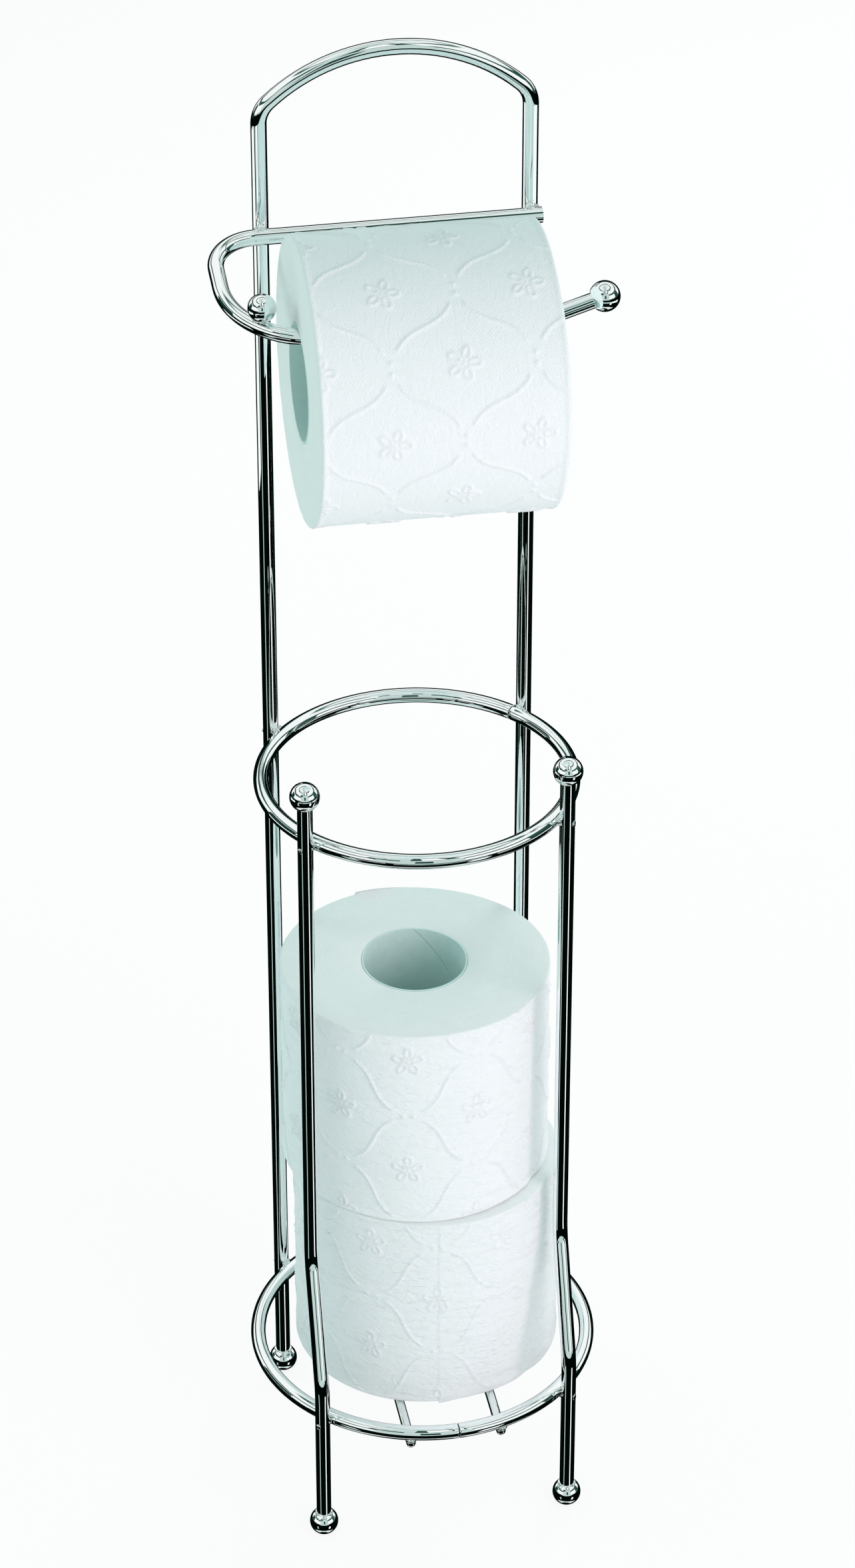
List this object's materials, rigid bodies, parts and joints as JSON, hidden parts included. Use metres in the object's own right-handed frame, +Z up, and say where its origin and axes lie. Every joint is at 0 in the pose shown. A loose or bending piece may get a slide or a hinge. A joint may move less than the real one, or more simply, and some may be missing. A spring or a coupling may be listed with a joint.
{
  "type": "toilet roll stand",
  "caption": "Free-standing chromed tube stand with a looped handle, a bent arm holding a toilet roll in use, and a cage of rings and legs for spare rolls.",
  "frame": {"origin": "on the floor, under the centre of the base ring and midway between the four feet", "axes": "+X to the right seen from the front, +Y to the back where the hoop stands, +Z up"},
  "size_m": [0.156, 0.1563, 0.656],
  "materials": {
    "chrome": "polished",
    "paper": "matt",
    "card": "matt"
  },
  "bodies": {
    "stand": {"rear_hoop": "chrome", "front_leg_left": "chrome", "front_leg_right": "chrome", "roll_arm": "chrome", "base_ring": "chrome", "top_ring": "chrome", "base_bar_left": "chrome", "base_bar_right": "chrome", "foot_ball_front_left": "chrome", "foot_ball_front_right": "chrome", "foot_ball_rear_left": "chrome", "foot_ball_rear_right": "chrome", "cap_ball_left": "chrome", "cap_ball_right": "chrome", "arm_end_ball": "chrome", "arm_stop_ball": "chrome"},
    "hanging_roll": {"hanging_roll_paper": "paper", "hanging_roll_core": "card"},
    "lower_spare": {"lower_spare_paper": "paper", "lower_spare_core": "card"},
    "upper_spare": {"upper_spare_paper": "paper", "upper_spare_core": "card"}
  },
  "joints": [
    {"name": "hanging_roll_turn", "type": "hinge", "parent": "stand", "child": "hanging_roll", "pos_m": [-0.0023, -0.01118, 0.5452], "axis": [1, 0, 0], "continuous": true},
    {"name": "lower_spare_lift", "type": "slide", "parent": "stand", "child": "lower_spare", "axis": [0, 0, 1], "range_m": [0, 0.03]},
    {"name": "upper_spare_lift", "type": "slide", "parent": "lower_spare", "child": "upper_spare", "axis": [0, 0, 1], "range_m": [0, 0.195]}
  ]
}
